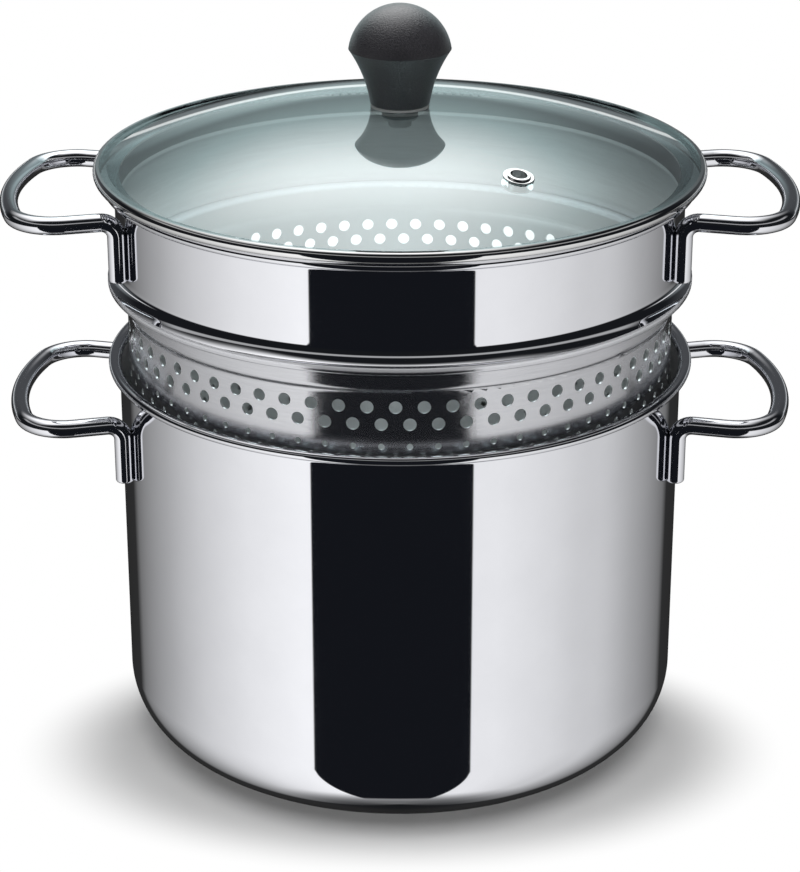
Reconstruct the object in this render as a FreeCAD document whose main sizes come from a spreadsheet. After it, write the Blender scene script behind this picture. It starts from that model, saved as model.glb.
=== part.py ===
# Pasta pot with a lift-out strainer and a glass lid, in millimetres at real size.
# The origin is the middle of the underside of the base, +Z is up and +X runs through the handles.
# The strainer hangs part-way lifted out of the pot, with the lid lying on its rim.
import FreeCAD, Part
import math
import os
from types import SimpleNamespace

import Sketcher

# Driving sizes. Lengths are in millimetres, angles in degrees, and counts are plain numbers.
DRIVING_SIZES = {
    # Pot: a drawn steel shell on a sandwich base.
    "pot_inner_radius": 110.0,
    "pot_wall": 0.8,
    "pot_height": 160.2,
    "pot_corner_radius": 28.0,
    "pot_rim_radius": 115.0,
    "rim_bead_diameter": 3.7,
    "rim_fillet": 1.5,
    "base_height": 6.0,
    "base_cap_sheet": 0.6,
    "base_seam": 0.3,
    # Handles: one bent rod each, the same for pot and strainer.
    "rod_diameter": 7.0,
    "handle_reach": 154.2,
    "handle_leg_spread": 39.0,
    "handle_splay": 14.0,
    "handle_end_radius": 110.0,
    "handle_corner_radius": 17.0,
    "handle_bend_radius": 6.0,
    "handle_leg_drop": 23.9,
    "handle_weld_bite": 0.4,
    "handle_leg_round": 1.2,
    "pot_handle_drop": 17.7,
    "strainer_handle_drop": 9.1,
    # Strainer: a perforated basket with a hemmed flange, and a polished collar on the flange.
    "strainer_lift": 31.0,
    "strainer_sheet": 0.8,
    "flange_radius": 114.0,
    "flange_height": 3.0,
    "flange_hem_width": 3.1,
    "flange_round": 0.8,
    "flange_inner_round": 1.5,
    "collar_radius": 110.2,
    "collar_height": 39.3,
    "collar_rim_radius": 115.0,
    "collar_foot_radius": 113.8,
    "collar_flare_height": 6.3,
    "basket_radius": 106.8,
    "basket_depth": 132.0,
    "basket_corner_radius": 16.0,
    "guide_step": 1.5,
    "guide_step_height": 4.0,
    "guide_length": 6.2,
    # Perforation: two rows of large holes, pairs of rows of small holes, and rings in the bottom.
    "holes_per_row": 65,
    "hole_turn": -0.85,
    "large_hole_diameter": 4.8,
    "large_row_depth": 14.7,
    "large_row_gap": 6.6,
    "small_hole_diameter": 2.4,
    "small_row_depth": 29.95,
    "small_row_gap": 4.45,
    "small_pair_pitch": 15.25,
    "small_row_pairs": 5,
    "bottom_ring_pitch": 11.5,
    "bottom_rings": 7,
    # Lid: a glass dome in a steel band, with a vent and a screwed knob.
    "lid_clearance": 0.3,
    "band_radius": 118.0,
    "band_height": 4.3,
    "band_bulge": 1.25,
    "band_foot_inset": 1.1,
    "band_sheet": 0.7,
    "band_lip": 1.1,
    "band_skirt_depth": 9.2,
    "skirt_clearance": 0.6,
    "glass_rise": 21.0,
    "glass_flat_rim": 3.2,
    "glass_edge_clearance": 0.1,
    "glass_bore_radius": 4.0,
    "vent_distance": 76.3,
    "vent_direction": -55.7,
    "vent_bore_radius": 3.0,
    "vent_barrel_wall": 0.7,
    "vent_hole_clearance": 0.3,
    "vent_flange_radius": 5.9,
    "vent_flange_sheet": 0.6,
    "vent_collar_radius": 4.5,
    "vent_collar_height": 1.3,
    "vent_washer_sheet": 0.6,
    "seat_clearance": 0.1,
    "vent_tail": 0.5,
    # Knob: a moulded mushroom on a brass insert, clamped through the glass by one screw.
    "knob_base_radius": 11.5,
    "knob_base_round": 0.6,
    "knob_edge_radius": 19.65,
    "knob_edge_height": 21.4,
    "knob_crown_height": 17.0,
    "knob_neck_radius": 52.0,
    "insert_radius": 4.2,
    "insert_length": 12.0,
    "insert_end_gap": 2.0,
    "screw_radius": 2.5,
    "screw_engagement": 10.5,
    "screw_head_radius": 4.5,
    "screw_head_height": 3.2,
    "screw_head_round": 1.0,
    "screw_slot_width": 1.2,
    "screw_slot_depth": 1.6,
    "gasket_sheet": 1.0,
    "upper_gasket_radius": 11.3,
    "lower_gasket_radius": 7.0,
    "washer_radius": 6.5,
    "washer_sheet": 1.0,
    "screw_hole_clearance": 0.25,
}

doc = FreeCAD.newDocument("PastaPot")
sheet = doc.addObject("Spreadsheet::Sheet", "Sizes")
for row, (alias, number) in enumerate(DRIVING_SIZES.items(), start=1):
    sheet.set(f"A{row}", alias)
    sheet.set(f"B{row}", str(number))
    sheet.setAlias(f"B{row}", alias)
doc.recompute()


class Size:
    """A length worked out from sheet cells: its number now, and the formula that keeps it live."""

    def __init__(self, number, formula):
        self.number = number
        self.formula = formula

    @staticmethod
    def of(value):
        if isinstance(value, Size):
            return value
        return Size(value, str(float(value)))

    def __add__(self, other):
        other = Size.of(other)
        return Size(self.number + other.number, f"({self.formula} + {other.formula})")

    def __sub__(self, other):
        other = Size.of(other)
        return Size(self.number - other.number, f"({self.formula} - {other.formula})")

    def __mul__(self, other):
        other = Size.of(other)
        return Size(self.number * other.number, f"({self.formula} * {other.formula})")

    def __truediv__(self, other):
        other = Size.of(other)
        return Size(self.number / other.number, f"({self.formula} / {other.formula})")

    def __neg__(self):
        return Size(-self.number, f"(0 - {self.formula})")

    def root(self):
        return Size(math.sqrt(self.number), f"sqrt({self.formula})")


size = SimpleNamespace()
for alias in DRIVING_SIZES:
    setattr(size, alias, Size(float(getattr(sheet, alias)), f"Sizes.{alias}"))
ZERO = Size(0.0, "0")


def other_leg(hypotenuse, leg):
    """The third side of a right triangle: how far out a circle is at a given height from its centre."""
    return (hypotenuse * hypotenuse - leg * leg).root()


def arc_radius(half_chord, rise):
    """Radius of the arc that rises so far over a chord."""
    return (half_chord * half_chord + rise * rise) / (rise * 2)


def origin_plane(body, role):
    for feature in body.Origin.OriginFeatures:
        if feature.Role == role:
            return feature
    raise ValueError(role)


def section_sketch(body, corners):
    """Closed sketch on the body's XZ plane, every corner tied to the sheet.

    A corner is (radius, height) or (radius, height, bend). Bend is the radius of the arc from that
    corner to the next one: plus where the outline turns left along it, minus where it turns right.
    """
    sketch = body.newObject("Sketcher::SketchObject", body.Name + "_section")
    sketch.AttachmentSupport = [(origin_plane(body, "XZ_Plane"), "")]
    sketch.MapMode = "FlatFace"
    points = [FreeCAD.Vector(corner[0].number, corner[1].number, 0) for corner in corners]
    ends = []
    bends = []
    for index, corner in enumerate(corners):
        start = points[index]
        finish = points[(index + 1) % len(points)]
        if len(corner) == 2:
            edge = sketch.addGeometry(Part.LineSegment(start, finish))
            ends.append((edge, 1, 2))
            continue
        bend = corner[2]
        turns_left = bend.number > 0
        radius = abs(bend.number)
        chord = finish - start
        to_left = FreeCAD.Vector(-chord.y, chord.x, 0).normalize()
        reach = math.sqrt(radius ** 2 - (chord.Length / 2) ** 2)
        centre = (start + finish) / 2 + to_left * (reach if turns_left else -reach)
        first, last = (start, finish) if turns_left else (finish, start)
        angles = [math.atan2(end.y - centre.y, end.x - centre.x) for end in (first, last)]
        circle = Part.Circle(centre, FreeCAD.Vector(0, 0, 1), radius)
        edge = sketch.addGeometry(Part.ArcOfCircle(circle, angles[0], angles[1]))
        ends.append((edge, 1, 2) if turns_left else (edge, 2, 1))
        bends.append((edge, bend if turns_left else -bend))
    bound = []
    for index, corner in enumerate(corners):
        edge, start, _ = ends[index]
        before, _, finish = ends[index - 1]
        sketch.addConstraint(Sketcher.Constraint("Coincident", before, finish, edge, start))
        for kind, axis, length in (("DistanceX", -2, corner[0]), ("DistanceY", -1, corner[1])):
            if length.number == 0:
                sketch.addConstraint(Sketcher.Constraint("PointOnObject", edge, start, axis))
            else:
                tie = Sketcher.Constraint(kind, -1, 1, edge, start, length.number)
                bound.append((sketch.addConstraint(tie), length))
    for edge, bend in bends:
        tie = Sketcher.Constraint("Radius", edge, bend.number)
        bound.append((sketch.addConstraint(tie), bend))
    for constraint, length in bound:
        sketch.setExpression(f"Constraints[{constraint}]", length.formula)
    return sketch


def turned_piece(label, corners):
    """A body turned about the vertical axis from its section."""
    body = doc.addObject("PartDesign::Body", label)
    body.Label = label
    sketch = section_sketch(body, corners)
    turn = body.newObject("PartDesign::Revolution", label + "_turn")
    turn.Profile = sketch
    turn.ReferenceAxis = (sketch, ["V_Axis"])
    turn.Angle = 360
    return body


def cut_piece(label, blank, tool):
    """The blank with the tool's shape cut out of it, as one piece."""
    piece = doc.addObject("Part::Cut", label)
    piece.Label = label
    piece.Base = blank
    piece.Tool = tool
    return piece


def rolled_rim(wall_outside, wall_inside, rim_radius, top):
    """Corners of a rim rolled outwards into a bead, from the outside of the wall over to its inside."""
    bead = size.rim_bead_diameter / 2
    bead_middle = rim_radius - bead
    lead_in = bead_middle - wall_inside
    underside = top - size.rim_bead_diameter
    return [
        (wall_outside, underside - size.rim_fillet, -size.rim_fillet),
        (wall_outside + size.rim_fillet, underside),
        (bead_middle, underside, bead),
        (rim_radius, top - bead, bead),
        (bead_middle, top, lead_in),
        (wall_inside, top - lead_in),
    ]


pieces = []

# Pot shell and sandwich base. The outside of shell and cap is one round corner from wall to table.
wall_outside = size.pot_inner_radius + size.pot_wall
corner_middle = wall_outside - size.pot_corner_radius
inner_corner = size.pot_corner_radius - size.pot_wall
core_corner = size.pot_corner_radius - size.base_cap_sheet
floor_top = size.base_height + size.pot_wall
cap_top = size.base_height - size.base_seam


def corner_reach(corner, height):
    """Distance from the axis to a round of the base corner at a height above the table."""
    return corner_middle + other_leg(corner, size.pot_corner_radius - height)


pieces.append(turned_piece("pot_shell", [
    (ZERO, size.base_height),
    (corner_reach(size.pot_corner_radius, size.base_height), size.base_height, size.pot_corner_radius),
    (wall_outside, size.pot_corner_radius),
    *rolled_rim(wall_outside, size.pot_inner_radius, size.pot_rim_radius, size.pot_height),
    (size.pot_inner_radius, size.pot_corner_radius, -inner_corner),
    (corner_reach(inner_corner, floor_top), floor_top),
    (ZERO, floor_top),
]))
pieces.append(turned_piece("base_core", [
    (ZERO, size.base_cap_sheet),
    (corner_middle, size.base_cap_sheet, core_corner),
    (corner_reach(core_corner, size.base_height), size.base_height),
    (ZERO, size.base_height),
]))
pieces.append(turned_piece("base_cap", [
    (ZERO, ZERO),
    (corner_middle, ZERO, size.pot_corner_radius),
    (corner_reach(size.pot_corner_radius, cap_top), cap_top),
    (corner_reach(core_corner, cap_top), cap_top, -core_corner),
    (corner_middle, size.base_cap_sheet),
    (ZERO, size.base_cap_sheet),
]))

# Strainer. Heights are measured from the underside of the flange, which seats on the pot's rim.
flange_under = size.pot_height + size.strainer_lift
flange_top = flange_under + size.flange_height
collar_top = flange_top + size.collar_height
collar_inside = size.collar_radius - size.strainer_sheet
flare_start = flange_top + size.collar_flare_height
flare_width = size.collar_foot_radius - size.collar_radius
flare_radius = arc_radius(size.collar_flare_height, flare_width)
flare_middle = size.collar_radius + flare_radius
flare_inside = flare_radius + size.strainer_sheet

pieces.append(turned_piece("strainer_collar", [
    (size.collar_foot_radius, flange_top, -flare_radius),
    (size.collar_radius, flare_start),
    *rolled_rim(size.collar_radius, collar_inside, size.collar_rim_radius, collar_top),
    (collar_inside, flare_start, flare_inside),
    (flare_middle - other_leg(flare_inside, size.collar_flare_height), flange_top),
]))

# The basket's wall steps out to a guide band under the flange, which centres it in the pot's mouth.
basket_bottom = flange_under - size.basket_depth
basket_inside = size.basket_radius - size.strainer_sheet
basket_corner_inside = size.basket_corner_radius - size.strainer_sheet
basket_corner_middle = size.basket_radius - size.basket_corner_radius
basket_corner_top = basket_bottom + size.basket_corner_radius
guide_radius = size.basket_radius + size.guide_step
guide_inside = guide_radius - size.strainer_sheet
step_top = flange_under - size.guide_length
step_bottom = step_top - size.guide_step_height
step_round = arc_radius(size.guide_step_height / 2, size.guide_step / 2)
step_outer_round = step_round + size.strainer_sheet
step_inner_round = step_round - size.strainer_sheet
step_share = step_inner_round / step_round
step_middle = guide_radius - step_round
step_waist = size.basket_radius + size.guide_step / 2
step_waist_height = step_top - size.guide_step_height / 2
inner_waist = step_middle + (step_waist - step_middle) * step_share
inner_waist_height = step_top + (step_waist_height - step_top) * step_share
web_under = flange_top - size.strainer_sheet
hem_inside = size.flange_radius - size.flange_hem_width
hem_flat = size.flange_radius - size.flange_round

basket_blank = turned_piece("basket_blank", [
    (ZERO, basket_bottom),
    (basket_corner_middle, basket_bottom, size.basket_corner_radius),
    (size.basket_radius, basket_corner_top),
    (size.basket_radius, step_bottom, -step_round),
    (step_waist, step_waist_height, step_round),
    (guide_radius, step_top),
    (guide_radius, web_under),
    (hem_inside, web_under),
    (hem_inside, flange_under),
    (hem_flat, flange_under, size.flange_round),
    (size.flange_radius, flange_under + size.flange_round),
    (size.flange_radius, flange_top - size.flange_round, size.flange_round),
    (hem_flat, flange_top),
    (guide_inside + size.flange_inner_round, flange_top, size.flange_inner_round),
    (guide_inside, flange_top - size.flange_inner_round),
    (guide_inside, step_top, -step_inner_round),
    (inner_waist, inner_waist_height, step_outer_round),
    (basket_inside, step_bottom),
    (basket_inside, basket_corner_top, -basket_corner_inside),
    (basket_corner_middle, basket_bottom + size.strainer_sheet),
    (ZERO, basket_bottom + size.strainer_sheet),
])


def wall_drills(hole_diameter, depth_below_flange, half_pitch):
    """Short drills through the basket's wall, one row round it. Alternate rows start half a pitch on."""
    overrun = 2 * size.strainer_sheet.number
    start = basket_inside.number - overrun
    height = flange_under.number - depth_below_flange
    count = round(size.holes_per_row.number)
    pitch = 360 / count
    row = []
    for hole in range(count):
        angle = math.radians(size.hole_turn.number - 90 + pitch * (hole + (0.5 if half_pitch else 0)))
        outward = FreeCAD.Vector(math.cos(angle), math.sin(angle), 0)
        foot = outward * start + FreeCAD.Vector(0, 0, height)
        row.append(Part.makeCylinder(hole_diameter / 2, 3 * overrun, foot, outward))
    return row


def bottom_drills():
    """Drills through the basket's bottom: one in the middle, and rings of six more holes each."""
    overrun = 2 * size.strainer_sheet.number
    start = FreeCAD.Vector(0, 0, basket_bottom.number - overrun)
    radius = size.small_hole_diameter.number / 2
    rings = [Part.makeCylinder(radius, 3 * overrun, start)]
    for ring in range(1, round(size.bottom_rings.number) + 1):
        distance = ring * size.bottom_ring_pitch.number
        for hole in range(6 * ring):
            angle = 2 * math.pi * hole / (6 * ring)
            aside = FreeCAD.Vector(math.cos(angle), math.sin(angle), 0) * distance
            rings.append(Part.makeCylinder(radius, 3 * overrun, start + aside))
    return rings


drills = wall_drills(size.large_hole_diameter.number, size.large_row_depth.number, False)
drills += wall_drills(
    size.large_hole_diameter.number, size.large_row_depth.number + size.large_row_gap.number, True)
for pair in range(round(size.small_row_pairs.number)):
    upper = size.small_row_depth.number + pair * size.small_pair_pitch.number
    drills += wall_drills(size.small_hole_diameter.number, upper, True)
    drills += wall_drills(size.small_hole_diameter.number, upper + size.small_row_gap.number, False)
drills += bottom_drills()
basket_drills = doc.addObject("Part::Feature", "basket_drills")
basket_drills.Shape = Part.makeCompound(drills)
pieces.append(cut_piece("strainer_basket", basket_blank, basket_drills))


def bent_handle(label, wall_radius, loop_height, side):
    """A rod bent into a flat-ended loop, its ends turned down and welded to a round wall."""
    rod = size.rod_diameter.number / 2
    bend = size.handle_bend_radius.number
    corner = size.handle_corner_radius.number
    end = size.handle_end_radius.number
    splay = math.radians(size.handle_splay.number)
    leg_offset = wall_radius.number + rod - size.handle_weld_bite.number
    leg_y = size.handle_leg_spread.number
    leg = FreeCAD.Vector(math.sqrt(leg_offset ** 2 - leg_y ** 2), leg_y, loop_height.number)
    along = FreeCAD.Vector(math.cos(splay), math.sin(splay), 0)
    across = FreeCAD.Vector(-along.y, along.x, 0)
    tip = FreeCAD.Vector(size.handle_reach.number - rod, 0, loop_height.number)
    end_middle = tip - FreeCAD.Vector(end, 0, 0)
    # The corner arc touches the straight arm and the inside of the wide end arc.
    offset = leg - across * corner - end_middle
    forward = offset.dot(along)
    run = -forward + math.sqrt(forward ** 2 - offset.dot(offset) + (end - corner) ** 2)
    corner_middle_point = leg + along * run - across * corner
    arm_end = leg + along * run
    to_end = (corner_middle_point - end_middle).normalize()
    end_start = end_middle + to_end * end
    corner_mid = corner_middle_point + (across + to_end).normalize() * corner
    up = FreeCAD.Vector(0, 0, 1)
    foot = leg - up * size.handle_leg_drop.number
    bend_start = leg - up * bend
    bend_end = leg + along * bend
    bend_middle = leg + along * bend - up * bend
    bend_mid = bend_middle + (up - along).normalize() * bend
    half = [foot, bend_start, bend_mid, bend_end, arm_end, corner_mid, end_start]
    near = [FreeCAD.Vector(side * point.x, point.y, point.z) for point in half]
    far = [FreeCAD.Vector(point.x, -point.y, point.z) for point in near]
    tip = FreeCAD.Vector(side * tip.x, 0, tip.z)
    path = Part.Wire([
        Part.LineSegment(near[0], near[1]).toShape(),
        Part.Arc(near[1], near[2], near[3]).toShape(),
        Part.LineSegment(near[3], near[4]).toShape(),
        Part.Arc(near[4], near[5], near[6]).toShape(),
        Part.Arc(near[6], tip, far[6]).toShape(),
        Part.Arc(far[6], far[5], far[4]).toShape(),
        Part.LineSegment(far[4], far[3]).toShape(),
        Part.Arc(far[3], far[2], far[1]).toShape(),
        Part.LineSegment(far[1], far[0]).toShape(),
    ])
    outline = Part.Wire([Part.Circle(near[0], up, rod).toShape()])
    bar = path.makePipeShell([outline], True, False)
    ends = [edge for edge in bar.Edges if edge.BoundBox.ZMax < foot.z + 1e-3]
    bar = bar.makeFillet(size.handle_leg_round.number, ends)
    blank = doc.addObject("Part::Feature", label + "_bar")
    blank.Shape = bar
    wall = doc.addObject("Part::Cylinder", label + "_seat")
    wall.setExpression("Radius", wall_radius.formula)
    wall.setExpression("Height", (loop_height + size.rod_diameter).formula)
    return cut_piece(label, blank, wall)


pot_loop = size.pot_height - size.pot_handle_drop
strainer_loop = collar_top - size.strainer_handle_drop
for side, word in ((-1, "left"), (1, "right")):
    pieces.append(bent_handle(f"pot_handle_{word}", wall_outside, pot_loop, side))
    pieces.append(bent_handle(f"strainer_handle_{word}", size.collar_radius, strainer_loop, side))

# Lid band: folded over the glass edge, resting on the collar's rim, with a skirt inside the collar.
band_under = collar_top + size.lid_clearance
band_top = band_under + size.band_height
band_foot = size.band_radius - size.band_foot_inset
band_crest = size.band_radius - size.band_bulge
lip_inside = band_crest - size.band_lip
channel = band_crest - size.band_sheet
skirt_outside = collar_inside - size.skirt_clearance
skirt_inside = skirt_outside - size.band_sheet
glass_under = band_under + size.band_sheet
glass_over = band_top - size.band_sheet
band_lean = band_foot - band_crest
band_half = (size.band_height * size.band_height + band_lean * band_lean).root() / 2

pieces.append(turned_piece("lid_rim_band", [
    (skirt_inside, band_under - size.band_skirt_depth),
    (skirt_outside, band_under - size.band_skirt_depth),
    (skirt_outside, band_under),
    (band_foot, band_under, arc_radius(band_half, size.band_bulge)),
    (band_crest, band_top),
    (lip_inside, band_top),
    (lip_inside, glass_over),
    (channel, glass_over),
    (channel, glass_under),
    (skirt_inside, glass_under),
]))

# Glass: a flat rim in the band's channel, and a dome of even thickness with a bored middle.
glass_sheet = glass_over - glass_under
glass_edge = channel - size.glass_edge_clearance
dome_edge = glass_edge - size.glass_flat_rim
dome_radius = arc_radius(dome_edge, size.glass_rise)
dome_under_radius = dome_radius - glass_sheet
dome_top = glass_over + size.glass_rise
dome_middle = dome_top - dome_radius


def dome_height(radius, distance):
    """Height of a dome surface at a distance from the axis."""
    return dome_middle + other_leg(radius, distance)


dome_under_edge = other_leg(dome_under_radius, glass_under - dome_middle)
glass_blank = turned_piece("glass_blank", [
    (size.glass_bore_radius, dome_height(dome_under_radius, size.glass_bore_radius), -dome_under_radius),
    (dome_under_edge, glass_under),
    (glass_edge, glass_under),
    (glass_edge, glass_over),
    (dome_edge, glass_over, dome_radius),
    (size.glass_bore_radius, dome_height(dome_radius, size.glass_bore_radius)),
])

# Vent: an eyelet through a hole square to the glass, riveted over a washer below.
vent_tilt = math.asin(size.vent_distance.number / dome_radius.number)
vent_turn = FreeCAD.Rotation(FreeCAD.Vector(0, 0, 1), size.vent_direction.number)
vent_lean = FreeCAD.Rotation(FreeCAD.Vector(0, 1, 0), math.degrees(vent_tilt))
vent_rotation = vent_turn.multiply(vent_lean)
vent_axis = vent_rotation.multVec(FreeCAD.Vector(0, 0, 1))
dome_middle_point = FreeCAD.Vector(0, 0, dome_middle.number)


def vent_placement(height):
    """Place on the vent's axis at a height along it over the glass's upper face."""
    return FreeCAD.Placement(dome_middle_point + vent_axis * (dome_radius.number + height), vent_rotation)


barrel_radius = size.vent_bore_radius + size.vent_barrel_wall
vent_hole_radius = barrel_radius + size.vent_hole_clearance
barrel_length = (glass_sheet + size.vent_washer_sheet + size.vent_tail
                 + size.seat_clearance + size.vent_collar_height)
flange_seat = barrel_length - size.vent_collar_height
vent_drill = doc.addObject("Part::Cylinder", "vent_drill")
vent_drill.setExpression("Radius", vent_hole_radius.formula)
vent_drill.setExpression("Height", (glass_sheet * 3).formula)
vent_drill.Placement = vent_placement(-2 * glass_sheet.number)
pieces.append(cut_piece("lid_glass", glass_blank, vent_drill))

vent_eyelet = turned_piece("vent_eyelet", [
    (size.vent_bore_radius, ZERO),
    (barrel_radius, ZERO),
    (barrel_radius, flange_seat),
    (size.vent_flange_radius, flange_seat),
    (size.vent_flange_radius, flange_seat + size.vent_flange_sheet / 2, size.vent_flange_sheet / 2),
    (size.vent_flange_radius - size.vent_flange_sheet / 2, flange_seat + size.vent_flange_sheet),
    (size.vent_collar_radius, flange_seat + size.vent_flange_sheet),
    (size.vent_collar_radius, barrel_length - size.vent_flange_sheet / 2, size.vent_flange_sheet / 2),
    (size.vent_collar_radius - size.vent_flange_sheet / 2, barrel_length),
    (size.vent_bore_radius + size.vent_flange_sheet / 2, barrel_length, size.vent_flange_sheet / 2),
    (size.vent_bore_radius, barrel_length - size.vent_flange_sheet / 2),
])
vent_eyelet.Placement = vent_placement(-flange_seat.number)
pieces.append(vent_eyelet)

vent_washer = turned_piece("vent_washer", [
    (barrel_radius, ZERO),
    (size.vent_flange_radius, ZERO),
    (size.vent_flange_radius, size.vent_washer_sheet),
    (barrel_radius, size.vent_washer_sheet),
])
washer_drop = glass_sheet + size.seat_clearance + size.vent_washer_sheet
vent_washer.Placement = vent_placement(-washer_drop.number)
pieces.append(vent_washer)

# Knob stack, from the top: knob, insert, upper gasket, glass, lower gasket, washer and screw.
knob_bottom = dome_top + size.gasket_sheet
knob_edge = knob_bottom + size.knob_edge_height
knob_top = knob_edge + size.knob_crown_height
insert_top = knob_bottom + size.insert_length
screw_hole_radius = size.screw_radius + size.screw_hole_clearance
lower_gasket_top = dome_height(dome_under_radius, size.lower_gasket_radius)
washer_top = lower_gasket_top - size.gasket_sheet
head_top = washer_top - size.washer_sheet
head_bottom = head_top - size.screw_head_height
knob_side = size.knob_base_radius - size.knob_base_round

pieces.append(turned_piece("lid_knob", [
    (size.insert_radius, knob_bottom),
    (knob_side, knob_bottom, size.knob_base_round),
    (size.knob_base_radius, knob_bottom + size.knob_base_round, -size.knob_neck_radius),
    (size.knob_edge_radius, knob_edge, arc_radius(size.knob_edge_radius, size.knob_crown_height)),
    (ZERO, knob_top),
    (ZERO, insert_top + size.insert_end_gap),
    (size.insert_radius, insert_top + size.insert_end_gap),
]))
pieces.append(turned_piece("knob_insert", [
    (size.screw_radius, knob_bottom),
    (size.insert_radius, knob_bottom),
    (size.insert_radius, insert_top),
    (size.screw_radius, insert_top),
]))


def flat_ring(label, bore, radius, bottom, top):
    """A gasket or washer between two heights."""
    return turned_piece(label, [(bore, bottom), (radius, bottom), (radius, top), (bore, top)])


pieces.append(flat_ring("knob_gasket", screw_hole_radius, size.upper_gasket_radius, dome_top, knob_bottom))
pieces.append(flat_ring(
    "under_glass_gasket", screw_hole_radius, size.lower_gasket_radius, washer_top, lower_gasket_top))
pieces.append(flat_ring("screw_washer", screw_hole_radius, size.washer_radius, head_top, washer_top))

screw_blank = turned_piece("screw_blank", [
    (ZERO, head_bottom),
    (size.screw_head_radius - size.screw_head_round, head_bottom, size.screw_head_round),
    (size.screw_head_radius, head_bottom + size.screw_head_round),
    (size.screw_head_radius, head_top),
    (size.screw_radius, head_top),
    (size.screw_radius, knob_bottom + size.screw_engagement),
    (ZERO, knob_bottom + size.screw_engagement),
])
slot = doc.addObject("Part::Box", "screw_slot")
slot.setExpression("Length", (size.screw_head_radius * 4).formula)
slot.setExpression("Width", size.screw_slot_width.formula)
slot.setExpression("Height", (size.screw_slot_depth * 2).formula)
slot.setExpression("Placement.Base.x", (-(size.screw_head_radius * 2)).formula)
slot.setExpression("Placement.Base.y", (-(size.screw_slot_width / 2)).formula)
slot.setExpression("Placement.Base.z", (head_bottom - size.screw_slot_depth).formula)
pieces.append(cut_piece("knob_screw", screw_blank, slot))

doc.recompute()

# Every object has to have come out whole before any file is written.
for item in doc.Objects:
    if "Invalid" in item.State or "Error" in item.State:
        raise RuntimeError(f"{item.Label} failed: {item.State}")
for piece in pieces:
    shape = piece.Shape
    if shape.isNull() or not shape.isValid() or not shape.Solids:
        raise RuntimeError(f"{piece.Label} has no valid solid")

os.makedirs("parts", exist_ok=True)
for piece in pieces:
    piece.Shape.exportStep(f"parts/{piece.Label}.step")
    box = piece.Shape.BoundBox
    print(f"{piece.Label}: {len(piece.Shape.Solids)} solid, {piece.Shape.Volume / 1000:.2f} cm3, "
          f"Z {box.ZMin:.2f} to {box.ZMax:.2f}, X {box.XMin:.2f} to {box.XMax:.2f}")
print(f"seat travel {size.strainer_lift.number} mm, total height {knob_top.number:.2f} mm")
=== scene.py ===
import math

import bmesh
import bpy
from mathutils import Matrix, Vector


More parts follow.
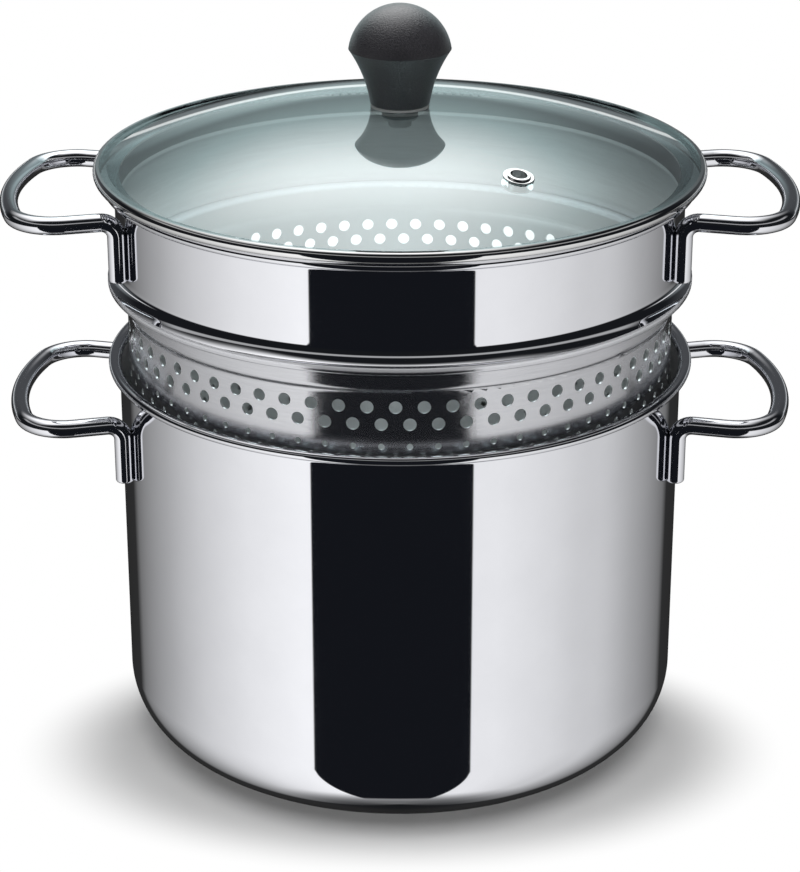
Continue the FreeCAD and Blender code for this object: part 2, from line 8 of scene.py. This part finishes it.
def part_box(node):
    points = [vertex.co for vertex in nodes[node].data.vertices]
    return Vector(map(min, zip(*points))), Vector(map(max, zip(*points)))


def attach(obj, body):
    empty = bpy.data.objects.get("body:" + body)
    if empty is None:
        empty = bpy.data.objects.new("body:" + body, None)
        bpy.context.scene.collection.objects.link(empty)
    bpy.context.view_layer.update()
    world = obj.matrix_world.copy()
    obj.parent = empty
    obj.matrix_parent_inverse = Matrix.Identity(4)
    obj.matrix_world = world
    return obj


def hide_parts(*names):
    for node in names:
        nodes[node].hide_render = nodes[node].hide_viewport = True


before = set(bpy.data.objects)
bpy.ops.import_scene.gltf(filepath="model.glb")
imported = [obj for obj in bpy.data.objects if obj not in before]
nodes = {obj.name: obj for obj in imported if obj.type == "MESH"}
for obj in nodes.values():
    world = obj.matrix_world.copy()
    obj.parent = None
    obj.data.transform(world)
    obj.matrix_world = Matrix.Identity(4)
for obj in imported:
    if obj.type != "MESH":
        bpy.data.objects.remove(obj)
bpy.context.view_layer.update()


# Pot shell: one deep-drawn sheet of stainless steel with its rim rolled outwards into a bead.
# Outside it is buffed to a mirror, inside it keeps a satin finish brushed round the axis, and the inside
# is painted pale, painted light that brightens it.
class Wire:
    """A socket in a node tree. Arithmetic on wires adds Math nodes, and node() adds any other node."""

    def __init__(self, tree, socket=None):
        self.tree = tree
        self.socket = socket

    def node(self, kind, settings=None, inputs=None, output=0):
        made = self.tree.nodes.new(kind)
        for name, value in (settings or {}).items():
            if name == "stops":
                made.color_ramp.elements.remove(made.color_ramp.elements[1])
                made.color_ramp.elements[0].position = value[0][0]
                made.color_ramp.elements[0].color = value[0][1]
                for place, colour in value[1:]:
                    made.color_ramp.elements.new(place).color = colour
            else:
                setattr(made, name, value)
        for name, value in (inputs or {}).items():
            if isinstance(value, Wire):
                self.tree.links.new(value.socket, made.inputs[name])
            else:
                made.inputs[name].default_value = value
        return Wire(self.tree, made.outputs[output])

    def maths(self, operation, *values):
        return self.node("ShaderNodeMath", {"operation": operation}, dict(enumerate(values)))

    def __add__(self, other):
        return self.maths("ADD", self, other)

    def __radd__(self, other):
        return self.maths("ADD", other, self)

    def __sub__(self, other):
        return self.maths("SUBTRACT", self, other)

    def __rsub__(self, other):
        return self.maths("SUBTRACT", other, self)

    def __mul__(self, other):
        return self.maths("MULTIPLY", self, other)

    def __rmul__(self, other):
        return self.maths("MULTIPLY", other, self)

    def __truediv__(self, other):
        return self.maths("DIVIDE", self, other)

    def __pow__(self, other):
        return self.maths("POWER", self, other)

    def __neg__(self):
        return self.maths("MULTIPLY", self, -1.0)

    def __abs__(self):
        return self.maths("ABSOLUTE", self)

    def at_least(self, low):
        return self.maths("MAXIMUM", self, low)

    def angle_over(self, run):
        """The angle, in radians, of a slope that rises by this wire over the run."""
        return self.maths("ARCTAN2", self, run)

    def rises(self, low, high):
        """0 below low, 1 above high, and a smooth rise between them."""
        return self.node("ShaderNodeMapRange", {"interpolation_type": "SMOOTHSTEP"},
                         {"Value": self, "From Min": low, "From Max": high})

    def between(self, first, second, blend="MIX"):
        """The first colour where this wire is 0, and the second mixed in as the wire goes up to 1."""
        return self.node("ShaderNodeMix", {"data_type": "RGBA", "blend_type": blend},
                         {0: self, 6: first, 7: second}, output=2)

    def part(self, axis):
        """One of the three numbers of a vector."""
        return self.node("ShaderNodeSeparateXYZ", inputs={0: self}, output=axis)


def grey(value):
    return (value, value, value, 1)


def new_finish(name, constants=None):
    """A new material, its node tree as a wire, and its Principled shader with the constants set on it."""
    material = bpy.data.materials.new(name)
    material.use_nodes = True
    shader = material.node_tree.nodes["Principled BSDF"]
    for socket, value in (constants or {}).items():
        shader.inputs[socket].default_value = value
    return material, Wire(material.node_tree), shader


def feed(taker, socket, wire):
    wire.tree.links.new(wire.socket, taker.inputs[socket])


def point_on(tree):
    """Where a point is on its piece, in metres."""
    return tree.node("ShaderNodeTexCoord", output="Object")


def noise(tree, place, scale, detail, roughness=0.5):
    return tree.node("ShaderNodeTexNoise", {"noise_dimensions": "3D"}, {
        "Vector": place, "Scale": scale, "Detail": detail, "Roughness": roughness})


def turned_lines(tree, lines_per_metre):
    """Fine lines left by brushing round the axis: long round the piece, and close together across it."""
    breaks_per_radian = 6.0
    point = point_on(tree)
    x = point.part("X")
    y = point.part("Y")
    distance = (x * x + y * y) ** 0.5
    across = tree.node("ShaderNodeCombineXYZ", inputs={
        "X": point.part("Z") * lines_per_metre,
        "Y": distance * lines_per_metre,
        "Z": y.angle_over(x) * breaks_per_radian})
    return noise(tree, across, scale=1.0, detail=3.0, roughness=0.7)


def buffed_haze(tree):
    """The slight unevenness that buffing leaves on a mirror finish."""
    return noise(tree, point_on(tree), scale=45.0, detail=4.0, roughness=0.6)


def stretch(start, finish, bend):
    """Points from start up to finish, along an arc or a straight run with a point near each end."""
    arc_step = math.radians(4)
    edge_guard = 0.0004
    across = finish - start
    if bend == 0:
        if across.length < 4 * edge_guard:
            return [start]
        guard = across.normalized() * edge_guard
        return [start, start + guard, finish - guard]
    half_angle = math.asin(min(1.0, across.length / 2 / abs(bend)))
    to_left = Vector((-across.y, across.x)).normalized()
    middle = (start + finish) / 2 + to_left * bend * math.cos(half_angle)
    steps = math.ceil(2 * half_angle / arc_step)
    turn = math.copysign(2 * half_angle, bend) / steps
    return [middle + Matrix.Rotation(turn * step, 2) @ (start - middle) for step in range(steps)]


def turned_piece(name, corners, finishes):
    """A piece turned about the upright axis from a closed section.

    A corner is (radius, height, bend, finish). Bend is the radius of the arc from that corner to the
    next one, plus where the outline turns left and minus where it turns right, or 0 for a straight run.
    """
    round_steps = 256
    same_point = 1e-6
    crisp_edge = math.radians(30)
    turns = [(math.cos(2 * math.pi * step / round_steps), math.sin(2 * math.pi * step / round_steps))
             for step in range(round_steps)]
    form = bmesh.new()
    rings = []
    for index, (radius, height, bend, finish) in enumerate(corners):
        after = Vector(corners[(index + 1) % len(corners)][:2])
        for point in stretch(Vector((radius, height)), after, bend):
            ring = [form.verts.new((point.x * x, point.x * y, point.y)) for x, y in turns]
            rings.append((ring, finish))
    for index, (ring, finish) in enumerate(rings):
        following = rings[(index + 1) % len(rings)][0]
        for step in range(round_steps):
            beside = (step + 1) % round_steps
            face = form.faces.new((ring[step], ring[beside], following[beside], following[step]))
            face.material_index = finish
            face.smooth = True
    bmesh.ops.remove_doubles(form, verts=form.verts, dist=same_point)
    mesh = bpy.data.meshes.new(name)
    for material in finishes:
        mesh.materials.append(material)
    form.to_mesh(mesh)
    form.free()
    mesh.set_sharp_from_angle(angle=crisp_edge)
    piece = bpy.data.objects.new(name, mesh)
    bpy.context.scene.collection.objects.link(piece)
    return piece


POLISHED = 0
SATIN = 1


def rolled_rim(wall_outside, wall_inside, rim_radius, top):
    """Corners of a rim rolled outwards into a bead, from the outside of the wall over to its inside."""
    bead = 0.0037 / 2
    fillet = 0.0015
    bead_middle = rim_radius - bead
    lead_in = bead_middle - wall_inside
    underside = top - 2 * bead
    return [
        (wall_outside, underside - fillet, -fillet, POLISHED),
        (wall_outside + fillet, underside, 0, POLISHED),
        (bead_middle, underside, bead, POLISHED),
        (rim_radius, top - bead, bead, POLISHED),
        (bead_middle, top, lead_in, POLISHED),
        (wall_inside, top - lead_in, 0, SATIN),
    ]


polished_steel, tree, shader = new_finish("polished_steel", {"Metallic": 1.0})
haze = buffed_haze(tree)
feed(shader, "Base Color", haze.between((0.75, 0.756, 0.79, 1), (0.82, 0.826, 0.86, 1)))
feed(shader, "Roughness", 0.02 + 0.025 * haze)

# Painted light: the inside steel is given a pale colour and a mostly matte finish, paler than steel is, so
# that the inside looks brighter.
satin_inside_painted_light, tree, shader = new_finish("satin_inside_painted_light", {"Metallic": 0.3})
lines = turned_lines(tree, 5200.0)
brushing = 0.4 * lines + 0.6 * turned_lines(tree, 900.0)
feed(shader, "Base Color", brushing.between(grey(0.66), grey(1.0)))
feed(shader, "Roughness", 0.34 + 0.14 * lines)

pot_rim_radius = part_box("pot_shell")[1][0]
pot_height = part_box("pot_shell")[1][2]
pot_inner_radius = 0.110
pot_wall = 0.0008
pot_outer_radius = pot_inner_radius + pot_wall
pot_corner = 0.028
base_height = 0.006
floor_top = base_height + pot_wall
corner_middle = pot_outer_radius - pot_corner
inner_corner = pot_corner - pot_wall
shell_foot = corner_middle + math.sqrt(pot_corner ** 2 - (pot_corner - base_height) ** 2)
floor_edge = corner_middle + math.sqrt(inner_corner ** 2 - (pot_corner - floor_top) ** 2)
pot_shell = turned_piece("pot_shell_drawn", [
    (0, base_height, 0, SATIN),
    (shell_foot, base_height, pot_corner, POLISHED),
    (pot_outer_radius, pot_corner, 0, POLISHED),
    *rolled_rim(pot_outer_radius, pot_inner_radius, pot_rim_radius, pot_height),
    (pot_inner_radius, pot_corner, -inner_corner, SATIN),
    (floor_edge, floor_top, 0, SATIN),
    (0, floor_top, 0, SATIN),
], [polished_steel, satin_inside_painted_light])
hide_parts("pot_shell")
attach(pot_shell, "pot")


# Base: an aluminium disc for even heat, closed in a pressed cap of magnetic steel.
# The cap is brazed on to the shell and its underside is finely turned on a lathe.
def dress(material, *names):
    for name in names:
        for slot in nodes[name].material_slots:
            slot.material = material


cap_steel, tree, shader = new_finish("base_cap_steel", {"Metallic": 1.0})
lines = turned_lines(tree, 3800.0)
side = point_on(tree).part("Z").rises(0.0003, 0.0009)
side_roughness = 0.03 + 0.02 * lines
under_roughness = 0.22 + 0.16 * lines
feed(shader, "Base Color", lines.between(grey(0.66), grey(0.8)))
feed(shader, "Roughness", side_roughness * side + under_roughness * (1 - side))
dress(cap_steel, "base_cap")

core_aluminium, tree, shader = new_finish("base_core_aluminium", {"Metallic": 1.0})
mill = noise(tree, point_on(tree), scale=320.0, detail=5.0)
feed(shader, "Base Color", mill.between(grey(0.72), grey(0.84)))
feed(shader, "Roughness", 0.32 + 0.16 * mill)
dress(core_aluminium, "base_core")

# Handles: four lengths of solid steel rod, bent to the same flat loop and buffed to a mirror.
# Their turned-down ends are welded to the wall, two on the pot and two on the strainer's collar.
rod_steel, tree, shader = new_finish("handle_rod_steel", {"Metallic": 1.0})
haze = buffed_haze(tree)
feed(shader, "Base Color", haze.between((0.73, 0.736, 0.77, 1), (0.8, 0.806, 0.84, 1)))
feed(shader, "Roughness", 0.05 + 0.04 * haze)
dress(rod_steel, "pot_handle_left", "pot_handle_right", "strainer_handle_left", "strainer_handle_right")

# Strainer basket: a drawn steel basket, punched with rows of holes and left satin; its inside is painted
# brighter than its outside, painted light.
# Its rolled flange hangs on the pot's rim and ends in a lip painted pale and partly matte, a painted
# highlight that the lamp lights as a bright line. The brush marks run round it.
basket_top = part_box("strainer_basket")[1][2]
lip_low = basket_top - 0.0019
lip_high = basket_top - 0.0012
basket_steel, tree, shader = new_finish(
    "basket_satin_steel", {"Anisotropic": 0.95, "Anisotropic Rotation": 0.25})
lines = turned_lines(tree, 3000.0)
brushing = 0.5 * lines + 0.5 * turned_lines(tree, 700.0)
point = point_on(tree)
normal = tree.node("ShaderNodeTexCoord", output="Normal")
away_from_axis = point.part("X") * normal.part("X") + point.part("Y") * normal.part("Y")
outside = away_from_axis.rises(-0.002, 0.002)
lip = point.part("Z").rises(lip_low, lip_high)
# Painted light: the inside of the basket is given a paler colour than its outside.
inside_painted_light_colour = brushing.between(grey(0.84), grey(0.96))
outside_colour = brushing.between((0.5, 0.504, 0.526, 1), (0.72, 0.726, 0.755, 1))
wall_colour = outside.between(inside_painted_light_colour, outside_colour)
# Painted highlight: the lip is pale and less metallic, so that the lamp lights it as a bright line.
feed(shader, "Base Color", lip.between(wall_colour, (0.9, 0.91, 0.95, 1)))
feed(shader, "Metallic", 0.92 + 0.06 * outside - 0.4 * lip)
feed(shader, "Roughness", 0.36 - 0.25 * outside + 0.1 * lip + 0.08 * brushing)
brushed = tree.node("ShaderNodeBump", inputs={"Strength": 0.1, "Distance": 0.0002, "Height": lines})
feed(shader, "Normal", brushed)
dress(basket_steel, "strainer_basket")

# Strainer collar: a polished steel ring with a rolled rim, flared out at its foot.
# The foot is seam-welded to the basket's flange, where the finish changes to satin.
flange_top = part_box("strainer_collar")[0][2]
collar_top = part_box("strainer_collar")[1][2]
collar_rim_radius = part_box("strainer_collar")[1][0]
collar_radius = 0.1102
strainer_sheet = 0.0008
collar_inside = collar_radius - strainer_sheet
collar_foot_radius = 0.1138
flare_height = 0.0063
flare_start = flange_top + flare_height
flare_width = collar_foot_radius - collar_radius
flare_bend = (flare_height ** 2 + flare_width ** 2) / (2 * flare_width)
flare_inside = flare_bend + strainer_sheet
foot_inside = collar_radius + flare_bend - math.sqrt(flare_inside ** 2 - flare_height ** 2)
# The collar's inside takes the same pale inside finish, which is painted light.
strainer_collar = turned_piece("strainer_collar_spun", [
    (collar_foot_radius, flange_top, -flare_bend, POLISHED),
    (collar_radius, flare_start, 0, POLISHED),
    *rolled_rim(collar_radius, collar_inside, collar_rim_radius, collar_top),
    (collar_inside, flare_start, flare_inside, SATIN),
    (foot_inside, flange_top, 0, SATIN),
], [polished_steel, satin_inside_painted_light])
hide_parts("strainer_collar")
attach(strainer_collar, "strainer")

# Lid band: a thin strip of polished steel rolled round the edge of the glass, resting on the collar.
# Its dull skirt hangs inside the collar and keeps the lid in the middle, and is painted dark, a painted
# shade. Along the skirt's foot a pale line is painted, a painted highlight.
band_under = collar_top + 0.0003
skirt_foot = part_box("lid_rim_band")[0][2]
band_steel, tree, shader = new_finish("lid_band_steel")
haze = buffed_haze(tree)
height = point_on(tree).part("Z")
skirt = 1 - height.rises(band_under - 0.0004, band_under)
# Painted highlight: a pale, mostly matte line along the foot of the skirt.
painted_edge_highlight = 1 - height.rises(skirt_foot + 0.0012, skirt_foot + 0.0018)
band_colour = haze.between(grey(0.74), grey(0.82))
# Painted shade: the skirt inside the collar is painted dark.
skirt_painted_shade = haze.between(grey(0.2), grey(0.26))
band_roughness = 0.03 + 0.025 * haze
skirt_roughness = 0.3 + 0.1 * haze
feed(shader, "Base Color", painted_edge_highlight.between(skirt.between(band_colour, skirt_painted_shade), grey(0.95)))
feed(shader, "Roughness", band_roughness * (1 - skirt) + skirt_roughness * skirt)
feed(shader, "Metallic", 1 - 0.9 * painted_edge_highlight)
dress(band_steel, "lid_rim_band")

# Lid glass: tempered soda-lime glass pressed to a shallow dome, faintly blue-green.
# It is clear, and shows the knob and the studio's soft light in its upper face.
gloss_head_on = 0.12
gloss_to_edge = 2.8
glass, tree, shader = new_finish("lid_tinted_glass", {"Metallic": 1.0, "Roughness": 0.0})
ripple = noise(tree, point_on(tree), scale=9.0, detail=1.0)
feed(shader, "Base Color", ripple.between((0.91, 0.98, 0.98, 1), (0.94, 1.0, 1.0, 1)))
mirror = Wire(glass.node_tree, shader.outputs["BSDF"])
tint = tree.node("ShaderNodeBsdfTransparent", inputs={"Color": (0.915, 0.963, 0.966, 1)})
facing = tree.node("ShaderNodeLayerWeight", inputs={"Blend": 0.5}, output="Facing")
outer_face = 1 - tree.node("ShaderNodeNewGeometry", output="Backfacing")
gloss = (gloss_head_on + (1 - gloss_head_on) * facing ** gloss_to_edge) * outer_face
pane = tree.node("ShaderNodeMixShader", inputs={0: gloss, 1: tint, 2: mirror})
feed(glass.node_tree.nodes["Material Output"], "Surface", pane)
dress(glass, "lid_glass")

# Vent: a steel eyelet riveted through the glass over a washer, so that steam gets out.
# Its outer flange is polished like the band.
eyelet_steel, tree, shader = new_finish("vent_steel", {"Metallic": 1.0})
haze = buffed_haze(tree)
feed(shader, "Base Color", haze.between(grey(0.74), grey(0.84)))
feed(shader, "Roughness", 0.06 + 0.05 * haze)
dress(eyelet_steel, "vent_eyelet", "vent_washer")

# Knob: black phenolic plastic moulded in a finely grained tool, with a crisp edge round its crown.
# A brass insert in its foot takes the screw, and silicone rings keep steel and plastic off the glass.
knob_plastic, tree, shader = new_finish(
    "knob_black_plastic", {"Specular IOR Level": 0.95, "Coat Weight": 0.3, "Coat Roughness": 0.3})
grain = noise(tree, point_on(tree), scale=1800.0, detail=2.0, roughness=0.6)
patches = noise(tree, point_on(tree), scale=1300.0, detail=2.0)
feed(shader, "Base Color", patches.between((0.003, 0.0029, 0.0036, 1), (0.04, 0.038, 0.046, 1)))
feed(shader, "Roughness", 0.28 + 0.12 * grain)
moulded = tree.node("ShaderNodeBump", inputs={"Strength": 0.6, "Distance": 0.0004, "Height": grain})
feed(shader, "Normal", moulded)
dress(knob_plastic, "lid_knob")

insert_brass, tree, shader = new_finish("insert_brass", {"Metallic": 1.0})
lines = turned_lines(tree, 4000.0)
feed(shader, "Base Color", lines.between((0.62, 0.44, 0.17, 1), (0.78, 0.6, 0.28, 1)))
feed(shader, "Roughness", 0.2 + 0.16 * lines)
dress(insert_brass, "knob_insert")

gasket_rubber, tree, shader = new_finish("gasket_rubber")
bloom = noise(tree, point_on(tree), scale=700.0, detail=4.0)
feed(shader, "Base Color", bloom.between((0.3, 0.31, 0.31, 1), (0.4, 0.41, 0.41, 1)))
feed(shader, "Roughness", 0.6 + 0.2 * bloom)
dress(gasket_rubber, "knob_gasket", "under_glass_gasket")

# Painted light: the screw and washer are given a pale, mostly matte colour, so that they look lit in the
# knob's shade.
screw_steel, tree, shader = new_finish("screw_steel_painted_light", {"Metallic": 0.3})
lines = turned_lines(tree, 4000.0)
feed(shader, "Base Color", lines.between(grey(0.78), grey(0.9)))
feed(shader, "Roughness", 0.34 + 0.14 * lines)
dress(screw_steel, "screw_washer", "knob_screw")

# Studio floor: a wide sheet of paper that takes the pot's real shadow, lit by one overhead lamp. Round the
# pot the paper is painted grey, a painted shadow in an oval set a little forward of the pot; further out
# it goes over to plain white for the camera, so that it has no edge.
shade_across = 0.125
shade_along = 0.08
shade_middle = -0.035
bpy.ops.mesh.primitive_plane_add(size=12.0, location=(0, 0, 0))
floor = bpy.context.object
floor.name = "floor"
floor_paper, tree, shader = new_finish("floor_paper", {"Roughness": 0.9})
point = point_on(tree)
fibre = noise(tree, point, scale=40.0, detail=2.0)
# Painted shadow: the paper is painted grey, which darkens the real shadow round the pot; past the oval the
# camera sees plain white instead.
feed(shader, "Base Color", fibre.between(grey(0.6), grey(0.64)))
paper = Wire(floor_paper.node_tree, shader.outputs["BSDF"])
white = tree.node("ShaderNodeEmission", inputs={"Color": grey(1.0), "Strength": 1.0})
sideways = point.part("X") / shade_across
backwards = (point.part("Y") - shade_middle) / shade_along
past_shadow = ((sideways ** 2 + backwards ** 2) ** 0.5).rises(0.86, 1.26)
to_camera = tree.node("ShaderNodeLightPath", output="Is Camera Ray")
sheet = tree.node("ShaderNodeMixShader", inputs={0: to_camera * past_shadow, 1: paper, 2: white})
feed(floor_paper.node_tree.nodes["Material Output"], "Surface", sheet)
floor.data.materials.append(floor_paper)
floor.visible_glossy = False

lamp = bpy.data.lights.new("overhead_softbox", "SUN")
lamp.energy = 0.75 * math.pi
lamp.angle = math.radians(60)
softbox = bpy.data.objects.new("overhead_softbox", lamp)
softbox.rotation_euler = (math.radians(12), 0, 0)
softbox.visible_glossy = False
bpy.context.scene.collection.objects.link(softbox)

# Reflector: a lit sheet behind the lid, seen only in the glass and in polished steel.
# It is brightest high up and a little to the left, and fades out to its sides and its foot.
card_half_width = 0.25
card_low = 0.22
card_high = 0.85
card_back = 0.15
card_mesh = bpy.data.meshes.new("reflector")
card_mesh.from_pydata([
    (-card_half_width, card_back, card_low), (card_half_width, card_back, card_low),
    (card_half_width, card_back, card_high), (-card_half_width, card_back, card_high)], [], [(0, 1, 2, 3)])
reflector = bpy.data.objects.new("reflector", card_mesh)
bpy.context.scene.collection.objects.link(reflector)
card_glow, tree, shader = new_finish("reflector_glow")
point = point_on(tree)
height = point.part("Z")
from_middle = abs(point.part("X") + 0.022)
half_glow = 0.19 + 0.06 * height.rises(0.27, 0.5)
sides = 1 - from_middle.rises(0.04, half_glow)
high_glow = height.rises(0.22, 0.5) * (1 - 0.36 * height.rises(0.42, 0.58))
low_glow = 0.13 * (1 - abs(height - 0.262).rises(0.006, 0.02))
glow_colour = tree.node("ShaderNodeValToRGB", {"stops": [
    (0.0, grey(0.0)), (0.25, (0.205, 0.265, 0.268, 1)), (1.0, grey(1.0))]},
    {"Fac": (high_glow + low_glow) * sides})
glow_light = tree.node("ShaderNodeEmission", inputs={"Color": glow_colour, "Strength": 2.1})
clear = tree.node("ShaderNodeBsdfTransparent")
lit_sheet = tree.node("ShaderNodeAddShader", inputs={0: glow_light, 1: clear})
feed(card_glow.node_tree.nodes["Material Output"], "Surface", lit_sheet)
card_mesh.materials.append(card_glow)
for unseen in ("camera", "diffuse", "transmission", "volume_scatter", "shadow"):
    setattr(reflector, "visible_" + unseen, False)

# Room: white to the camera. Polished steel sees a pale floor that darkens towards the back, a black card
# in front, a soft light and a faint ring of light overhead, and a dim back wall with a lit line across it.
half_turn = 180.0
card_middle = math.radians(-3.3)
card_half = math.radians(32.8)
card_blur = 0.006
unlit = (0.01, 0.011, 0.013, 1)
room = bpy.data.worlds.new("studio_room")
room.use_nodes = True
bpy.context.scene.world = room
tree = Wire(room.node_tree)
direction = tree.node("ShaderNodeTexCoord", output="Generated")
to_right = direction.part("X")
to_back = direction.part("Y")
upward = direction.part("Z")
steep = -upward
bearing = to_right.angle_over(-to_back)

pale_floor = tree.node("ShaderNodeValToRGB", {"stops": [
    (40 / half_turn, grey(1.12)), (65 / half_turn, grey(0.96)), (90 / half_turn, grey(0.72)),
    (111 / half_turn, grey(0.465)), (132 / half_turn, grey(0.265)), (139 / half_turn, grey(0.19)),
    (145 / half_turn, grey(0.03)), (1.0, grey(0.02))]}, {"Fac": abs(bearing) / math.pi})
right_side = bearing.rises(0.2, 0.5) * (1 - bearing.rises(1.3, 1.7))
floor_light = right_side.between(pale_floor, grey(0.88), "MULTIPLY")
near_foot = 0.87 * steep.rises(0.9, 1.0)
floor_end = 1 - steep.rises(0.12, 0.2)
floor_seen = (near_foot + floor_end).between(floor_light, unlit)
off_card = abs(bearing - card_middle).rises(card_half - card_blur, card_half + card_blur)
black_card = (1 - off_card) * (1 - steep.rises(0.958, 0.978))
lower = black_card.between(floor_seen, (0.008, 0.009, 0.012, 1))

back_wall = to_back.rises(0.55, 0.95) * (1 - upward.rises(0.5, 0.75))
dim_room = back_wall.between(unlit, (0.075, 0.079, 0.085, 1))
over_lid = upward.rises(0.38, 0.8) * to_back.rises(-0.4, 0.05)
overhead = over_lid * (1 - abs(to_right + 0.12).rises(0.2, 0.7))
ring = upward.rises(0.4, 0.46) * (1 - upward.rises(0.54, 0.6))
ring_light = 0.3 * ring * (1 - to_back.rises(0.2, 0.5))
upper = ring_light.at_least(overhead).between(dim_room, grey(1.45))

level = abs(upward)
wall_foot = (1 - level.rises(0.06, 0.16)) * to_back.rises(0.5, 0.85)
lit_line = (1 - level.rises(0.012, 0.03)) * to_back.rises(0.3, 0.6)
around = wall_foot.between(upward.rises(-0.02, 0.02).between(lower, upper), (0.2, 0.22, 0.23, 1))
studio = lit_line.between(around, grey(0.9))
to_camera = tree.node("ShaderNodeLightPath", output="Is Camera Ray")
to_gloss = tree.node("ShaderNodeLightPath", output="Is Glossy Ray")
room_light = to_gloss.between(grey(0.32), studio)
feed(room.node_tree.nodes["Background"], "Color", to_camera.between(room_light, grey(1.0)))
room.cycles.sampling_method = "NONE"

# Camera: a long lens a little over a metre away, looking down on the lid from the front.
# Its place and its lens were fitted to the rims in the photograph.
aim = Vector((0, 0, 0.1215))
lens = bpy.data.cameras.new("camera")
lens.lens = 111.4
lens.sensor_width = 36.0
camera = bpy.data.objects.new("camera", lens)
camera.location = (0, -1.0031, 0.5354)
camera.rotation_euler = (aim - camera.location).to_track_quat("-Z", "Y").to_euler()
bpy.context.scene.collection.objects.link(camera)
bpy.context.scene.camera = camera
bpy.context.scene.view_settings.view_transform = "Standard"
